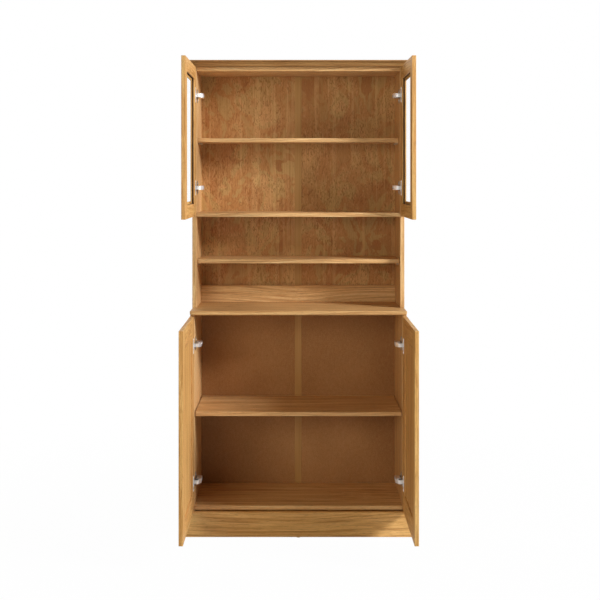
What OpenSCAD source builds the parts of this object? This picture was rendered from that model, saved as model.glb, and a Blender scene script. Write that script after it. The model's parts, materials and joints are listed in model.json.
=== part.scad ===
// Display cabinet: a base cupboard with two panelled doors, and on its worktop
// a shallower hutch with an open shelf compartment and a glazed cupboard.
// Millimetres, Z up, X to the right as seen from the front, Y to the back.
// The origin is on the floor, at the middle of the whole with its doors open.
// All four doors are drawn standing open square to the front.

/* [Boards] */
// Thickness of sides, shelves, worktop and other panels
board = 16; // [15:0.5:22]
// Thickness of the back panels
back_t = 3; // [2.5:0.5:6]
// Distance from the rear edges of the sides to the back panels
back_inset = 16; // [8:1:30]
// Width of the strip that joins the two halves of a back
joint_strip_w = 27; // [16:1:40]

/* [Base cupboard] */
// Width over the two sides
carcass_w = 816; // [700:2:1000]
// Depth of the base sides
base_depth = 330; // [300:5:400]
// Height of the worktop's top face above the floor
base_h = 850; // [780:5:950]
// Height of the plinth boards
plinth_h = 93; // [60:1:120]
// Thickness of the plinth boards
plinth_t = 20; // [16:1:25]
// Radius of the plinth's outer top edge
plinth_round = 3.5; // [1:0.5:8]
// Height of the floor glides
glide_h = 3; // [2:0.5:8]
// Height of the shadow gap between the plinth and the bottom board
plinth_gap = 3; // [1:0.5:8]
// Overhang of the worktop in front of the base
worktop_over = 18; // [10:1:40]
// Radius of the worktop's top edge
worktop_round_top = 3; // [1:0.5:5]
// Radius of the worktop's bottom edge
worktop_round_bottom = 6; // [2:0.5:8]
// Height of the base shelf's underside above the bottom board
base_shelf_up = 337; // [200:1:500]
// Distance of the base shelf's front edge behind the front of the sides
base_shelf_back = 2; // [1:1:60]

/* [Hutch] */
// Depth of the hutch sides
hutch_depth = 245; // [200:5:290]
// Height of the hutch sides above the worktop
hutch_h = 927; // [850:1:1050]
// Clear height between the worktop and the fixed shelf
open_h = 350; // [300:1:420]
// Height of the open shelf's underside above the worktop
open_shelf_up = 169; // [120:1:240]
// Distance of the open shelf's front edge behind the front of the sides
open_shelf_back = 30; // [2:1:90]
// Height of the glazed shelf's underside above the fixed shelf
glazed_shelf_up = 273; // [200:1:340]
// Distance of the glazed shelf's front edge behind the front of the sides
glazed_shelf_back = 58; // [20:1:90]
// Height of the rail that stands on the worktop against the back
upstand_h = 66; // [40:1:110]

/* [Cornice] */
// Height of the cornice mouldings
cornice_h = 23; // [20:1:40]
// How far the lip of a moulding stands out from the foot of its cove
cornice_out = 20; // [18:1:30]
// How far the front moulding's cove starts in front of the hutch
cornice_lead = 18; // [16:1:24]
// How far the side mouldings reach in over the sides
cornice_in = 16; // [10:1:24]
// Height of the lip at the top of a moulding
cornice_lip_h = 4; // [2:0.5:6]
// Width of the small step under the lip
cornice_step = 1.8; // [1:0.2:3]
// Height of the small step under the lip
cornice_step_h = 1; // [0.5:0.1:2]
// Depth of the cove's hollow, at its middle
cove_hollow = 2; // [1:0.2:4]

/* [Doors] */
// Thickness of the doors
door_t = 15; // [15:0.5:18]
// Gap between the two doors of a pair when they are closed
door_gap = 3; // [2:0.5:6]
// Distance of a closed door's edge inside the outer face of the carcass
door_reveal = 2; // [1:0.5:3]
// Gap between a closed door and the front edges of the carcass
door_stand = 3; // [2.5:0.5:4]
// Gap over the lower doors, under the worktop
lower_door_top_gap = 5; // [2:0.5:8]
// Width of the stiles and rails of the lower doors
lower_member_w = 72; // [60:1:90]
// Thickness of the lower doors' panels
panel_t = 8; // [6:0.5:9]
// Depth of the grooves that hold the lower doors' panels
panel_groove = 10; // [6:0.5:14]
// Gap over the upper doors, under the cornice
upper_door_top_gap = 2; // [1:0.5:6]
// Height of the upper doors' lower end above the fixed shelf's underside
upper_door_foot = 4; // [2:0.5:8]
// Inner width of the upper doors' stiles, glazing bead included
glazed_stile_w = 57; // [52:1:75]
// Inner width of the upper doors' rails, glazing bead included
glazed_rail_w = 48; // [40:1:75]
// How far the outer lip of the glazed frame reaches past the bead
glazed_lip = 10; // [6:1:14]
// Thickness of the outer lip of the glazed frame
glazed_lip_t = 4; // [3:0.5:5]
// Width of the glazing beads
bead_w = 10; // [8:0.5:12]
// Thickness of the glazing beads
bead_t = 5; // [4:0.5:6]
// Thickness of the glass
glass_t = 4; // [3:0.5:5]
// How far the glass reaches into its seal
glass_bite = 7; // [4:0.5:7.5]

/* [Hinges] */
// Distance from a door's end to the centre of its hinge
hinge_from_end = 108; // [80:1:160]
// Distance of the hinge pin from the door's inner face
pin_depth = 6.5; // [6:0.1:6.8]
// Distance of the hinge pin from the door's edge
pin_from_edge = 6.5; // [6.5:0.1:6.8]
// Diameter of the hinge pin
pin_d = 2.8; // [2.4:0.1:3]
// Diameter of the hinge cup's bore
cup_d = 35; // [35:0.2:36]
// Depth of the hinge cup's bore
cup_bore_depth = 12; // [12:0.1:12.6]
// Width of the wood between the door's edge and the cup's bore
cup_rim = 3; // [2.6:0.1:3]
// Height of the hinge arm's body
arm_h = 16; // [15:0.5:20]
// Thickness of the hinge arm's strip
arm_t = 2.5; // [2:0.1:2.6]
// Distance of the hinge plate's screws behind the front of the sides
plate_from_front = 37; // [34:1:40]
// Spacing of the two screws of a hinge plate
plate_screw_gap = 32; // [28:1:40]

/* [Fittings] */
// Diameter of the wooden dowels
dowel_d = 8; // [6:0.5:10]
// Length of the wooden dowels
dowel_len = 30; // [24:1:36]
// Diameter of the shelf pins' pegs
peg_d = 5; // [4:0.5:7]
// Length of the part of a peg that lies in the side
peg_in = 8; // [6:0.5:11]
// Width and length of a shelf pin's tongue
tongue = 10; // [8:0.5:14]
// Thickness of a shelf pin's tongue
tongue_t = 2; // [1.5:0.5:4]
// Diameter of the floor glides
glide_d = 15; // [10:1:15]

/* [Hidden] */
$fn = 48;

// Colours
oak = [0.80, 0.60, 0.36];
oak_door = [0.84, 0.64, 0.40];
board_back = [0.46, 0.30, 0.16];
strip_colour = [0.50, 0.42, 0.26];
glide_colour = [0.25, 0.18, 0.12];
dowel_colour = [0.87, 0.75, 0.55];
glass_colour = [0.80, 0.88, 0.86, 0.35];
seal_colour = [0.15, 0.12, 0.10];
steel = [0.80, 0.80, 0.82];

// Clearances
// Radial clearance of pegs, dowels and screws in their holes
fit = 0.05;
// Radial running clearance of a hinge arm on its pin
run = 0.05;
// Clearance of a panel's face in its groove, each side
groove_fit = 0.1;
// Clearance of a panel's edge from the bottom of its groove
groove_end = 1;
// Clearance at each end of a loose shelf in the hutch
shelf_fit = 1;
// Clearance at each end of the base shelf
base_shelf_fit = 3.5;
// Clearance between loose shelves or fixed boards and the joint strip
strip_clear = 0.3;
// Gap in the mitres of the glazing beads
mitre_gap = 0.2;
// Extra length of every cut, so that it breaks through cleanly
cut = 1;

// Levels
plinth_top = glide_h + plinth_h;
floor_board_z = plinth_top + plinth_gap;
worktop_z = base_h - board;
hutch_top_z = base_h + hutch_h;
mid_shelf_z = base_h + open_h;
base_shelf_z = floor_board_z + board + base_shelf_up;
open_shelf_z = base_h + open_shelf_up;
glazed_shelf_z = mid_shelf_z + board + glazed_shelf_up;
lower_door_z = [floor_board_z, worktop_z - lower_door_top_gap];
upper_door_z = [mid_shelf_z + upper_door_foot, hutch_top_z - upper_door_top_gap];

// Places across the width
half_w = carcass_w / 2;
inner_half = half_w - board;
leaf_w = half_w - door_reveal - door_gap / 2;
pin_x = -(half_w - door_reveal - pin_from_edge);

// Places along the depth: the doors stand open, so the middle lies between
// the tips of the lower doors and the rear of the sides
pin_lead = door_stand + pin_depth;
door_lead = pin_lead - pin_from_edge;
base_front = (leaf_w + door_lead - base_depth) / 2;
rear = base_front + base_depth;
hutch_front = rear - hutch_depth;
back_face = rear - back_inset - back_t;
strip_flange = 1.2;
strip_web = 2;
groove_depth = 6;
fixed_rear = back_face - strip_flange - strip_clear;

// Hinges: height of each pair, and the measures of arm, cup and plate
lower_hinges = [lower_door_z[0] + hinge_from_end, lower_door_z[1] - hinge_from_end];
upper_hinges = [upper_door_z[0] + hinge_from_end, upper_door_z[1] - hinge_from_end];
cup_centre = cup_rim + cup_d / 2;
cup_wall = 0.7;
cup_play = 0.05;
cup_flange_t = 1;
cup_flange_r = cup_d / 2 + 1.3;
cup_wing = [12, 58];
cup_screw_back = 9.5;
cup_screw_gap = 48;
cup_screw_r = 1.5;
cup_screw_len = 10;
cup_screw_head_r = 3.6;
cup_screw_head_t = 0.9;
pin_half = 7.9;
knuckle_r = 2.2;
neck_h = 5.2;
neck_u = 5.5;
strip_in_cup_h = 14;
// Route of the arm's strip from the pin: in toward the middle, in to the back
arm_route = [
    [0, 0], [6, -3], [22, -3], [24.75, 0], [24.75, 8], [31.5, 17], [31.5, 60]
];
arm_web_u = arm_route[6][0];
arm_cheek_t = 1.1;
arm_cheek_v = [20, 60];
arm_cheek_u = 14;
wall_u = -inner_half - pin_x;
plate_t = 2;
plate_wing = [12, 52];
ridge_u = 22;
ridge_v = [24, 66];
ridge_h = 13;
ridge_seat = 0.5;
plate_screw_r = 2.5;
plate_screw_len = 11;
plate_head_r = 4.2;
plate_head_t = 1.8;
arm_screw_v = [33, 53];
arm_screw_r = 2;
arm_screw_len = 16;
arm_head_r = 4;
arm_head_t = 1.4;
// Depth of the hole for an arm screw in a plate's ridge
arm_seat_len = arm_screw_len - (arm_web_u + arm_t / 2 - ridge_u) + ridge_seat;

// Dowels and pegs: places behind the front of a side
dowel_in_side = 10;
dowel_in_top = 12;
dowel_rows = [50, 60];
hutch_dowel_rows = [40, 70];
base_dowel_rows = [50, 110];
peg_rows = [34, 62];
// Height of a peg's centre under a shelf's underside
peg_drop = tongue_t + peg_d / 2;

// Floor glides: places [x, y], and the nail of each
glide_line = half_w + plinth_t / 2;
glide_inset = 30;
glide_places = [
    [-glide_line, base_front + glide_inset], [glide_line, base_front + glide_inset],
    [-glide_line, rear - glide_inset], [glide_line, rear - glide_inset],
    [0, base_front - plinth_t / 2], [0, back_face + back_t - board / 2]
];
glide_nail_r = 1.5;
glide_nail_len = 14;

// Glazed frame: width of the solid part beside the glazing rebate
glazed_stile_core = glazed_stile_w - bead_w;
glazed_rail_core = glazed_rail_w - bead_w;
glazed_lip_y = -door_t + glazed_lip_t;
seal_w = bead_w;
seal_gap = 0.5;

// A plain block between two corners
module block(low, high) {
    translate(low) cube(high - low);
}

// The same shape on the right-hand side
module right_hand() {
    mirror([1, 0, 0]) children();
}

// A 2D profile drawn as [back, up], run along X from x0 to x1
module along_x(x0, x1) {
    translate([x0, 0, 0]) rotate([90, 0, 90]) linear_extrude(x1 - x0) children();
}

// A 2D profile drawn as [right, up], run along Y from y0 to y1
module along_y(y0, y1) {
    translate([0, y1, 0]) rotate([90, 0, 0]) linear_extrude(y1 - y0) children();
}

// The waste outside a rounded corner, with the material toward +x and +y
module corner_waste(r) {
    difference() {
        translate([-cut, -cut]) square(r + cut);
        translate([r, r]) circle(r);
    }
}

// Cylinder along X from the given point, toward +x
module rod_x(at, r, len) {
    translate(at) rotate([0, 90, 0]) cylinder(h = len, r = r);
}

// Cylinder along Y from the given point, toward +y
module rod_y(at, r, len) {
    translate(at) rotate([-90, 0, 0]) cylinder(h = len, r = r);
}

// Depth places of the dowels, pegs and plates, from the front of a side
function dowel_y(front) = [front + dowel_rows[0], back_face - dowel_rows[1]];
function hutch_dowel_y() = [hutch_front + hutch_dowel_rows[0], rear - hutch_dowel_rows[1]];
function base_dowel_y() = [base_front + base_dowel_rows[0], rear - base_dowel_rows[1]];
function peg_y(shelf_front) = [shelf_front + peg_rows[0], back_face - peg_rows[1]];

// Boards that are dowelled between the sides: [front of the side, underside]
fixed_boards = [
    [base_front, floor_board_z],
    [hutch_front, mid_shelf_z],
    [hutch_front, hutch_top_z - board]
];

// Loose shelves: [front edge, underside]
base_shelf_front = base_front + base_shelf_back;
open_shelf_front = hutch_front + open_shelf_back;
glazed_shelf_front = hutch_front + glazed_shelf_back;
loose_shelves = [
    [base_shelf_front, base_shelf_z],
    [open_shelf_front, open_shelf_z],
    [glazed_shelf_front, glazed_shelf_z]
];

// Hinge places: [front of the side, height]
hinge_places = [
    [base_front, lower_hinges[0]], [base_front, lower_hinges[1]],
    [hutch_front, upper_hinges[0]], [hutch_front, upper_hinges[1]]
];

// Dowels

// One dowel from the left side into a board at the given depth and height
module side_dowel(y, z, grow) {
    length = dowel_len + 2 * grow;
    rod_x([-inner_half - dowel_in_side - grow, y, z], dowel_d / 2 + grow, length);
}

// Dowels of every fixed board at the left side
module side_dowels(grow) {
    for (b = fixed_boards, y = dowel_y(b[0]))
        side_dowel(y, b[1] + board / 2, grow);
}

// Upright dowels between the left hutch side and the worktop
module hutch_foot_dowels(grow) {
    for (y = hutch_dowel_y())
        translate([-half_w + board / 2, y, base_h - dowel_in_top - grow])
            cylinder(h = dowel_len + 2 * grow, d = dowel_d + 2 * grow);
}

// Upright dowels between the left base side and the worktop
module base_head_dowels(grow) {
    for (y = base_dowel_y())
        translate([-half_w + board / 2, y, worktop_z + dowel_in_top + grow - dowel_len - 2 * grow])
            cylinder(h = dowel_len + 2 * grow, d = dowel_d + 2 * grow);
}

// All dowels of the left half
module left_dowels(grow) {
    side_dowels(grow);
    hutch_foot_dowels(grow);
    base_head_dowels(grow);
}

// All dowels, or the holes for them
module all_dowels(grow) {
    left_dowels(grow);
    right_hand() left_dowels(grow);
}

module dowels() {
    color(dowel_colour) all_dowels(0);
}

// Shelf pins

// Peg of one shelf pin in the left side
module peg(y, z, grow) {
    length = peg_in + grow + (grow > 0 ? cut : 0);
    rod_x([-inner_half - peg_in - grow, y, z], peg_d / 2 + grow, length);
}

// Peg holes of the left side
module peg_holes() {
    for (s = loose_shelves, y = peg_y(s[0]))
        peg(y, s[1] - peg_drop, fit);
}

// One shelf pin: a peg with a collar that carries a tongue under the shelf
module shelf_pin(y, under) {
    peg(y, under - peg_drop, 0);
    rod_x([-inner_half, y, under - peg_drop], peg_d / 2, tongue);
    block([-inner_half, y - tongue / 2, under - tongue_t],
          [-inner_half + tongue, y + tongue / 2, under]);
    block([-inner_half, y - tongue_t / 2, under - peg_drop],
          [-inner_half + tongue, y + tongue_t / 2, under]);
}

module left_shelf_pins() {
    for (s = loose_shelves, y = peg_y(s[0]))
        shelf_pin(y, s[1]);
}

module shelf_pins() {
    color(steel) {
        left_shelf_pins();
        right_hand() left_shelf_pins();
    }
}

// Sides

// Holes in the left sides for the screws of the hinge plates
module plate_screw_holes() {
    for (p = hinge_places, s = [-1, 1])
        rod_x([-inner_half - plate_screw_len - fit, p[0] + plate_from_front,
               p[1] + s * plate_screw_gap / 2],
              plate_screw_r + fit, plate_screw_len + fit + cut);
}

// Groove in a left side for the edge of a back panel
module back_groove(z0, z1) {
    block([-inner_half - groove_depth, back_face - groove_fit, z0],
          [-inner_half + cut, back_face + back_t + groove_fit, z1]);
}

module left_side(front, z0, z1, groove_z) {
    difference() {
        block([-half_w, front, z0], [-inner_half, rear, z1]);
        back_groove(groove_z, z1 + cut);
        peg_holes();
        plate_screw_holes();
        left_dowels(fit);
    }
}

module base_side_left() {
    color(oak) left_side(base_front, glide_h, worktop_z, floor_board_z);
}

module base_side_right() {
    color(oak) right_hand() left_side(base_front, glide_h, worktop_z, floor_board_z);
}

module hutch_side_left() {
    color(oak) left_side(hutch_front, base_h, hutch_top_z, base_h - cut);
}

module hutch_side_right() {
    color(oak) right_hand() left_side(hutch_front, base_h, hutch_top_z, base_h - cut);
}

// Fixed boards and loose shelves

module fixed_board(front, z) {
    difference() {
        block([-inner_half, front, z], [inner_half, fixed_rear, z + board]);
        all_dowels(fit);
    }
}

module loose_shelf(front, z, gap) {
    block([-inner_half + gap, front, z], [inner_half - gap, fixed_rear, z + board]);
}

module base_bottom() {
    color(oak) fixed_board(base_front, floor_board_z);
}

module hutch_mid_shelf() {
    color(oak) fixed_board(hutch_front, mid_shelf_z);
}

module hutch_top() {
    color(oak) fixed_board(hutch_front, hutch_top_z - board);
}

module base_shelf() {
    color(oak) loose_shelf(base_shelf_front, base_shelf_z, base_shelf_fit);
}

module hutch_open_shelf() {
    color(oak) loose_shelf(open_shelf_front, open_shelf_z, shelf_fit);
}

module hutch_glazed_shelf() {
    color(oak) loose_shelf(glazed_shelf_front, glazed_shelf_z, shelf_fit);
}

// Backs

// Left half of a back between two heights
module left_back(z0, z1) {
    block([-inner_half - groove_depth + groove_end, back_face, z0],
          [-strip_web / 2, back_face + back_t, z1]);
}

// Strip with a flange on each face of the two halves, and a web between them
module joint_strip(z0, z1) {
    half = joint_strip_w / 2;
    block([-half, back_face - strip_flange, z0], [half, back_face, z1]);
    block([-strip_web / 2, back_face, z0], [strip_web / 2, back_face + back_t, z1]);
    block([-half, back_face + back_t, z0], [half, back_face + back_t + strip_flange, z1]);
}

module base_back_left() {
    color(board_back) left_back(floor_board_z, worktop_z);
}

module base_back_right() {
    color(board_back) right_hand() left_back(floor_board_z, worktop_z);
}

module base_back_joint_strip() {
    color(strip_colour) joint_strip(floor_board_z, worktop_z);
}

module hutch_back_left() {
    color(board_back) left_back(base_h, hutch_top_z);
}

module hutch_back_right() {
    color(board_back) right_hand() left_back(base_h, hutch_top_z);
}

module hutch_back_joint_strip() {
    color(strip_colour) joint_strip(base_h, hutch_top_z);
}

module upstand_rail() {
    color(oak) block([-inner_half, fixed_rear - board, base_h],
                     [inner_half, fixed_rear, base_h + upstand_h]);
}

// Plinth and floor glides

// Profile of a plinth board: [outward, up] from its inner face
module plinth_profile() {
    difference() {
        square([plinth_t, plinth_h]);
        translate([plinth_t, plinth_h]) rotate([0, 0, 180]) corner_waste(plinth_round);
    }
}

module glide_holes() {
    for (p = glide_places)
        translate([p[0], p[1], glide_h - cut])
            cylinder(h = glide_nail_len + cut + fit, r = glide_nail_r + fit);
}

module floor_glides() {
    color(glide_colour) for (p = glide_places) translate([p[0], p[1], 0]) {
        cylinder(h = glide_h, d = glide_d);
        cylinder(h = glide_h + glide_nail_len, r = glide_nail_r);
    }
}

module plinth_front() {
    out = half_w + plinth_t;
    color(oak) difference() {
        intersection() {
            along_x(-out, out) translate([base_front, glide_h]) mirror([1, 0]) plinth_profile();
            linear_extrude(plinth_top) polygon([
                [-out, base_front - plinth_t], [out, base_front - plinth_t],
                [half_w, base_front], [-half_w, base_front]
            ]);
        }
        glide_holes();
    }
}

module plinth_side() {
    out = half_w + plinth_t;
    difference() {
        intersection() {
            along_y(base_front - plinth_t, rear)
                translate([-half_w, glide_h]) mirror([1, 0]) plinth_profile();
            linear_extrude(plinth_top) polygon([
                [-out, base_front - plinth_t], [-half_w, base_front],
                [-half_w, rear], [-out, rear]
            ]);
        }
        glide_holes();
    }
}

module plinth_left() {
    color(oak) plinth_side();
}

module plinth_right() {
    color(oak) right_hand() plinth_side();
}

module plinth_back() {
    color(oak) difference() {
        block([-inner_half, back_face + back_t - board, glide_h],
              [inner_half, back_face + back_t, floor_board_z]);
        glide_holes();
    }
}

// Worktop

// Profile across the depth: [back, up]
module worktop_depth_profile() {
    depth = base_depth + worktop_over;
    difference() {
        square([depth, board]);
        corner_waste(worktop_round_bottom);
        translate([0, board]) mirror([0, 1]) corner_waste(worktop_round_top);
    }
}

// Profile across the width: [right, up], with both ends rounded
module worktop_width_profile() {
    difference() {
        translate([-half_w, 0]) square([carcass_w, board]);
        for (s = [0, 1]) mirror([s, 0]) translate([-half_w, 0]) {
            corner_waste(worktop_round_bottom);
            translate([0, board]) mirror([0, 1]) corner_waste(worktop_round_top);
        }
    }
}

module worktop() {
    color(oak) difference() {
        intersection() {
            along_x(-half_w, half_w)
                translate([base_front - worktop_over, worktop_z]) worktop_depth_profile();
            along_y(base_front - worktop_over, rear)
                translate([0, worktop_z]) worktop_width_profile();
        }
        all_dowels(fit);
    }
}

// Cornice

cove_w = cornice_out - cornice_step - 1.2;
cove_h = cornice_h - cornice_lip_h - cornice_step_h;
cove_chord = norm([cove_w, cove_h]);
cove_r = (cove_chord * cove_chord / 4 + cove_hollow * cove_hollow) / (2 * cove_hollow);
cove_mid = [cove_w, cove_h] / 2;
cove_centre = cove_mid + [cove_h, -cove_w] / cove_chord * (cove_r - cove_hollow);
lip_round = 1;

// Profile of a moulding: [outward, up] from the foot of its cove
module cornice_profile(inward) {
    difference() {
        translate([-inward, 0]) square([inward + cornice_out, cornice_h]);
        intersection() {
            translate(cove_centre) circle(cove_r, $fn = 96);
            translate([0, -cut]) square([cove_w, cove_h + cut]);
        }
        translate([cove_w, -cut]) square([cornice_out, cove_h + cut]);
        translate([cornice_out - cornice_step, -cut])
            square([cornice_out, cove_h + cornice_step_h + cut]);
        translate([cornice_out, cornice_h]) rotate([0, 0, 180]) corner_waste(lip_round);
    }
}

// Plan of the mouldings: corners of the mitre at the left front
cornice_corner = [-half_w - cornice_out, hutch_front - cornice_lead - cornice_out];
cornice_inner = [
    -half_w + cornice_in, cornice_corner[1] + cornice_out + cornice_in
];
cornice_front_rear = hutch_front + board;

module cornice_front() {
    reach = cornice_lead + board;
    color(oak) intersection() {
        along_x(cornice_corner[0], -cornice_corner[0])
            translate([hutch_front - cornice_lead, hutch_top_z]) mirror([1, 0])
                cornice_profile(reach);
        translate([0, 0, hutch_top_z]) linear_extrude(cornice_h) polygon([
            cornice_corner, [-cornice_corner[0], cornice_corner[1]],
            [-cornice_inner[0], cornice_inner[1]], [-cornice_inner[0], cornice_front_rear],
            [cornice_inner[0], cornice_front_rear], cornice_inner
        ]);
    }
}

module cornice_side() {
    intersection() {
        along_y(cornice_corner[1], rear)
            translate([-half_w, hutch_top_z]) mirror([1, 0]) cornice_profile(cornice_in);
        translate([0, 0, hutch_top_z]) linear_extrude(cornice_h) polygon([
            cornice_corner, cornice_inner, [cornice_inner[0], rear], [cornice_corner[0], rear]
        ]);
    }
}

module cornice_left() {
    color(oak) cornice_side();
}

module cornice_right() {
    color(oak) right_hand() cornice_side();
}

// Doors

// Places what is drawn as a closed left door, hinge edge at x = 0 and inner
// face at y = 0, on its pins, and swings it open by a quarter turn
module hung(front) {
    translate([pin_x, front - pin_lead, 0]) rotate([0, 0, -90])
        translate([-pin_from_edge, pin_depth, 0]) children();
}

// Block of a closed left door: width range, depth range in from the inner
// face, and height range
module leaf_block(w, d, z) {
    block([w[0], -d[1], z[0]], [w[1], -d[0], z[1]]);
}

// Bores and screw holes for the hinge cups of one door
module cup_bores(heights) {
    for (z = heights) {
        rod_y([cup_centre, -cup_bore_depth, z], cup_d / 2, cup_bore_depth + cut);
        for (s = [-1, 1])
            rod_y([cup_centre + cup_screw_back, -cup_screw_len, z + s * cup_screw_gap / 2],
                  cup_screw_r + fit, cup_screw_len + cut);
    }
}

// Two hinge cups with their flanges, pins and screws
module cups(heights) {
    r = cup_d / 2 - cup_play;
    depth = cup_bore_depth - cup_play;
    for (z = heights) {
        difference() {
            union() {
                rod_y([cup_centre, -depth, z], r, depth);
                rod_y([cup_centre, 0, z], cup_flange_r, cup_flange_t);
                translate([cup_centre + cup_screw_back - cup_wing[0] / 2, 0, z - cup_wing[1] / 2])
                    cube([cup_wing[0], cup_flange_t, cup_wing[1]]);
            }
            rod_y([cup_centre, -depth + cup_wall, z], r - cup_wall, depth + cut);
            for (s = [-1, 1])
                rod_y([cup_centre + cup_screw_back, -cut, z + s * cup_screw_gap / 2],
                      cup_screw_r + fit, cup_flange_t + 2 * cut);
        }
        translate([pin_from_edge, -pin_depth, z - pin_half]) cylinder(h = 2 * pin_half, d = pin_d);
        for (s = [-1, 1]) {
            at = [cup_centre + cup_screw_back, cup_flange_t + fit, z + s * cup_screw_gap / 2];
            rod_y(at, cup_screw_head_r, cup_screw_head_t);
            rod_y(at - [0, cup_screw_len, 0], cup_screw_r, cup_screw_len);
        }
    }
}

// Lower doors: a panel in a grooved frame

panel_d = [(door_t - panel_t) / 2, (door_t + panel_t) / 2];
groove_d = [panel_d[0] - groove_fit, panel_d[1] + groove_fit];
tenon_len = panel_groove - groove_end / 2;

module lower_stile(w, cupped) {
    inner = cupped ? [w[1] - panel_groove, w[1] + cut] : [w[0] - cut, w[0] + panel_groove];
    difference() {
        leaf_block(w, [0, door_t], lower_door_z);
        leaf_block(inner, groove_d, [lower_door_z[0] - cut, lower_door_z[1] + cut]);
        if (cupped) cup_bores(lower_hinges);
    }
}

// A rail between the stiles, grooved on the edge toward the panel
module lower_rail(z, groove_z) {
    difference() {
        union() {
            leaf_block([lower_member_w, leaf_w - lower_member_w], [0, door_t], z);
            leaf_block([lower_member_w - tenon_len, leaf_w - lower_member_w + tenon_len], panel_d, z);
        }
        leaf_block([0, leaf_w], groove_d, groove_z);
    }
}

module lower_hinge_stile() {
    hung(base_front) lower_stile([0, lower_member_w], true);
}

module lower_meeting_stile() {
    hung(base_front) lower_stile([leaf_w - lower_member_w, leaf_w], false);
}

module lower_top_rail() {
    foot = lower_door_z[1] - lower_member_w;
    hung(base_front) lower_rail([foot, lower_door_z[1]], [foot - cut, foot + panel_groove]);
}

module lower_bottom_rail() {
    head = lower_door_z[0] + lower_member_w;
    hung(base_front) lower_rail([lower_door_z[0], head], [head - panel_groove, head + cut]);
}

module lower_panel() {
    edge = lower_member_w - panel_groove + groove_end;
    hung(base_front) leaf_block([edge, leaf_w - edge], panel_d,
                                [lower_door_z[0] + edge, lower_door_z[1] - edge]);
}

// Upper doors: glass in a rebated frame

module glazed_stile(cupped) {
    difference() {
        union() {
            leaf_block([0, glazed_stile_core], [0, door_t], upper_door_z);
            leaf_block([0, glazed_stile_w + glazed_lip], [-glazed_lip_y, door_t], upper_door_z);
        }
        if (cupped) cup_bores(upper_hinges);
    }
}

// Same measures as seen from the door's other edge
module from_far_edge() {
    translate([leaf_w, 0, 0]) mirror([1, 0, 0]) children();
}

module upper_hinge_stile() {
    hung(hutch_front) glazed_stile(true);
}

module upper_meeting_stile() {
    hung(hutch_front) from_far_edge() glazed_stile(false);
}

// A glazed rail between two heights: its core, and its lip reaching further
module glazed_rail(core_z, lip_z) {
    lip_w = glazed_stile_w + glazed_lip;
    leaf_block([glazed_stile_core, leaf_w - glazed_stile_core], [0, -glazed_lip_y], core_z);
    leaf_block([lip_w, leaf_w - lip_w], [-glazed_lip_y, door_t], lip_z);
}

module upper_top_rail() {
    z = upper_door_z[1];
    hung(hutch_front) glazed_rail([z - glazed_rail_core, z], [z - glazed_rail_w - glazed_lip, z]);
}

module upper_bottom_rail() {
    z = upper_door_z[0];
    hung(hutch_front) glazed_rail([z, z + glazed_rail_core], [z, z + glazed_rail_w + glazed_lip]);
}

// Rectangle of the glazed opening, grown by a given margin: [low, high]
function glazed_rect(margin) = [
    [glazed_stile_w - margin, upper_door_z[0] + glazed_rail_w - margin],
    [leaf_w - glazed_stile_w + margin, upper_door_z[1] - glazed_rail_w + margin]
];

module glazed_slab(margin, d) {
    rect = glazed_rect(margin);
    leaf_block([rect[0][0], rect[1][0]], d, [rect[0][1], rect[1][1]]);
}

seal_t = door_t - glazed_lip_t - bead_t;
glass_d = [bead_t + (seal_t - glass_t) / 2, bead_t + (seal_t + glass_t) / 2];

module upper_glass() {
    hung(hutch_front) glazed_slab(glass_bite, glass_d);
}

module upper_glazing_seal() {
    hung(hutch_front) difference() {
        glazed_slab(seal_w - seal_gap, [bead_t, bead_t + seal_t]);
        glazed_slab(0, [bead_t - cut, bead_t + seal_t + cut]);
        glazed_slab(glass_bite, glass_d);
    }
}

// Four mitred beads between the solid frame and the opening
module upper_glazing_beads() {
    in = glazed_rect(0);
    out = glazed_rect(bead_w);
    corners_in = [in[0], [in[1][0], in[0][1]], in[1], [in[0][0], in[1][1]]];
    corners_out = [out[0], [out[1][0], out[0][1]], out[1], [out[0][0], out[1][1]]];
    hung(hutch_front) for (i = [0:3]) {
        j = (i + 1) % 4;
        side = corners_out[j] - corners_out[i];
        gap = side / norm(side) * mitre_gap / 2;
        rotate([90, 0, 0]) linear_extrude(bead_t) polygon([
            corners_out[i] + gap, corners_out[j] - gap,
            corners_in[j] - gap, corners_in[i] + gap
        ]);
    }
}

module upper_cups() {
    hung(hutch_front) cups(upper_hinges);
}

module lower_cups() {
    hung(base_front) cups(lower_hinges);
}

module upper_left_hinge_stile() {
    color(oak_door) upper_hinge_stile();
}

module upper_left_meeting_stile() {
    color(oak_door) upper_meeting_stile();
}

module upper_left_top_rail() {
    color(oak_door) upper_top_rail();
}

module upper_left_bottom_rail() {
    color(oak_door) upper_bottom_rail();
}

module upper_left_glass() {
    color(glass_colour) upper_glass();
}

module upper_left_glazing_seal() {
    color(seal_colour) upper_glazing_seal();
}

module upper_left_glazing_beads() {
    color(oak_door) upper_glazing_beads();
}

module upper_left_hinge_cups() {
    color(steel) upper_cups();
}

module upper_right_hinge_stile() {
    color(oak_door) right_hand() upper_hinge_stile();
}

module upper_right_meeting_stile() {
    color(oak_door) right_hand() upper_meeting_stile();
}

module upper_right_top_rail() {
    color(oak_door) right_hand() upper_top_rail();
}

module upper_right_bottom_rail() {
    color(oak_door) right_hand() upper_bottom_rail();
}

module upper_right_glass() {
    color(glass_colour) right_hand() upper_glass();
}

module upper_right_glazing_seal() {
    color(seal_colour) right_hand() upper_glazing_seal();
}

module upper_right_glazing_beads() {
    color(oak_door) right_hand() upper_glazing_beads();
}

module upper_right_hinge_cups() {
    color(steel) right_hand() upper_cups();
}

module lower_left_hinge_stile() {
    color(oak_door) lower_hinge_stile();
}

module lower_left_meeting_stile() {
    color(oak_door) lower_meeting_stile();
}

module lower_left_top_rail() {
    color(oak_door) lower_top_rail();
}

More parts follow.
